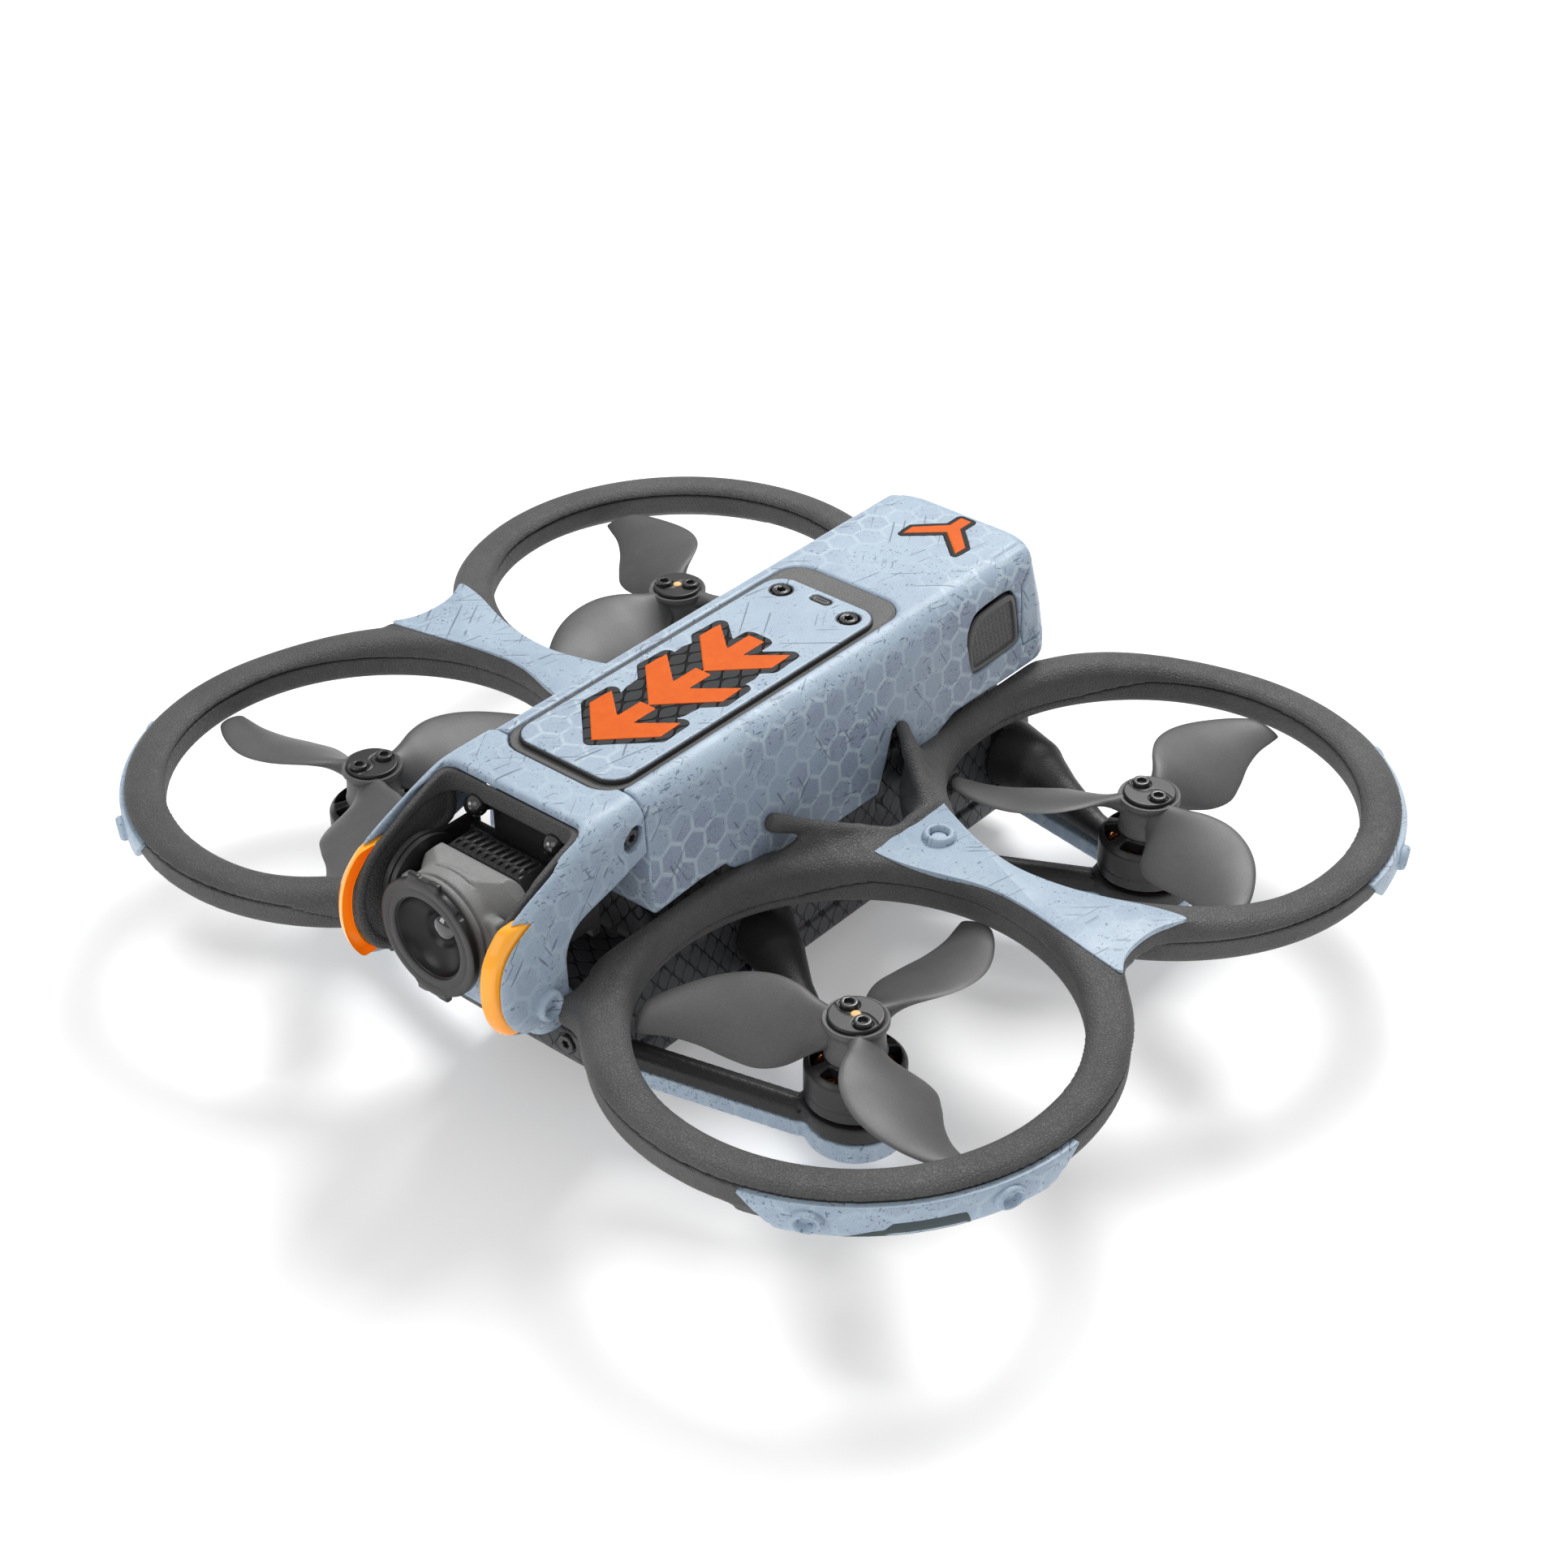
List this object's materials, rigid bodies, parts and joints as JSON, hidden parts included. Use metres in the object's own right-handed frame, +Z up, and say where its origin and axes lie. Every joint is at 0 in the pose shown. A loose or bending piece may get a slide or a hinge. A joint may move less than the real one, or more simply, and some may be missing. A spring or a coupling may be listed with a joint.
{
  "type": "ducted fpv drone",
  "caption": "Compact ducted racing drone with four guarded rotors, a tilting nose camera behind a bumper, and a slide-out battery with side latches.",
  "frame": {"origin": "on the ground under the middle of the overall box, where the landing feet's undersides lie", "axes": "+Z up; -Y towards the nose and camera; +X towards the drone's own left, across the long way over the guard rings"},
  "size_m": [0.2132, 0.1794, 0.0639],
  "materials": {
    "skin": "satin",
    "graphite_plastic": "fine grain",
    "black_plastic": "satin",
    "black_steel": "satin",
    "amber_lens": "gloss",
    "lens_glass": "gloss",
    "copper_windings": "satin",
    "aluminium": "satin",
    "circuit_board": "satin"
  },
  "bodies": {
    "airframe": {"upper_shell": "skin", "top_plate": "skin", "front_bumper": "skin", "antenna_cover_front_left": "skin", "antenna_cover_front_right": "skin", "antenna_cover_rear_left": "skin", "antenna_cover_rear_right": "skin", "arm_cover_front_left": "skin", "arm_cover_front_right": "skin", "arm_cover_rear_left": "skin", "arm_cover_rear_right": "skin", "camera_bezel": "graphite_plastic", "guard_upper_left": "graphite_plastic", "guard_upper_right": "graphite_plastic", "guard_lower_left": "graphite_plastic", "guard_lower_right": "graphite_plastic", "lower_shell": "black_plastic", "motor_arm_front_left": "black_plastic", "motor_arm_front_right": "black_plastic", "motor_arm_rear_left": "black_plastic", "motor_arm_rear_right": "black_plastic", "gimbal_bracket": "black_plastic", "top_plate_screw_left": "black_steel", "top_plate_screw_right": "black_steel", "bumper_side_screw_left": "black_steel", "bumper_side_screw_right": "black_steel", "bumper_lug_screw_left": "black_steel", "bumper_lug_screw_right": "black_steel", "bumper_light_left": "amber_lens", "bumper_light_right": "amber_lens", "belly_sensor_window": "lens_glass", "stator_front_left": "copper_windings", "stator_front_right": "copper_windings", "stator_rear_left": "copper_windings", "stator_rear_right": "copper_windings", "heat_sink": "aluminium", "main_board": "circuit_board"},
    "rotor_front_left": {"rotor_bell_front_left": "black_plastic", "propeller_front_left": "graphite_plastic", "propeller_clamp_front_left": "black_steel"},
    "rotor_front_right": {"rotor_bell_front_right": "black_plastic", "propeller_front_right": "graphite_plastic", "propeller_clamp_front_right": "black_steel"},
    "rotor_rear_left": {"rotor_bell_rear_left": "black_plastic", "propeller_rear_left": "graphite_plastic", "propeller_clamp_rear_left": "black_steel"},
    "rotor_rear_right": {"rotor_bell_rear_right": "black_plastic", "propeller_rear_right": "graphite_plastic", "propeller_clamp_rear_right": "black_steel"},
    "camera": {"camera_housing": "graphite_plastic", "camera_rear_cover": "black_plastic", "lens_filter_ring": "graphite_plastic", "lens_glass": "lens_glass", "tilt_motor": "black_plastic"},
    "battery": {"battery_pack": "black_plastic", "battery_end_cap": "skin", "battery_level_window": "lens_glass"},
    "latch_left": {"battery_latch_left": "graphite_plastic"},
    "latch_right": {"battery_latch_right": "graphite_plastic"},
    "button": {"power_button": "graphite_plastic"}
  },
  "joints": [
    {"name": "rotor_spin_front_left", "type": "hinge", "parent": "airframe", "child": "rotor_front_left", "pos_m": [0.0595, -0.0432, 0.034], "axis": [0, 0, 1], "continuous": true},
    {"name": "rotor_spin_front_right", "type": "hinge", "parent": "airframe", "child": "rotor_front_right", "pos_m": [-0.0595, -0.0432, 0.034], "axis": [0, 0, 1], "continuous": true},
    {"name": "rotor_spin_rear_left", "type": "hinge", "parent": "airframe", "child": "rotor_rear_left", "pos_m": [0.0595, 0.0432, 0.034], "axis": [0, 0, 1], "continuous": true},
    {"name": "rotor_spin_rear_right", "type": "hinge", "parent": "airframe", "child": "rotor_rear_right", "pos_m": [-0.0595, 0.0432, 0.034], "axis": [0, 0, 1], "continuous": true},
    {"name": "camera_tilt", "type": "hinge", "parent": "airframe", "child": "camera", "pos_m": [0, -0.0732, 0.0456], "axis": [1, 0, 0], "range_deg": [-90, 90]},
    {"name": "battery_slide", "type": "slide", "parent": "airframe", "child": "battery", "axis": [0, 1, 0], "range_m": [0, 0.09]},
    {"name": "latch_press_left", "type": "slide", "parent": "battery", "child": "latch_left", "axis": [-1, 0, 0], "range_m": [0, 0.0009], "stiffness_N_per_m": 1500},
    {"name": "latch_press_right", "type": "slide", "parent": "battery", "child": "latch_right", "axis": [1, 0, 0], "range_m": [0, 0.0009], "stiffness_N_per_m": 1500},
    {"name": "power_button_press", "type": "slide", "parent": "battery", "child": "button", "axis": [0, -1, 0], "range_m": [0, 0.0008], "stiffness_N_per_m": 1500}
  ]
}
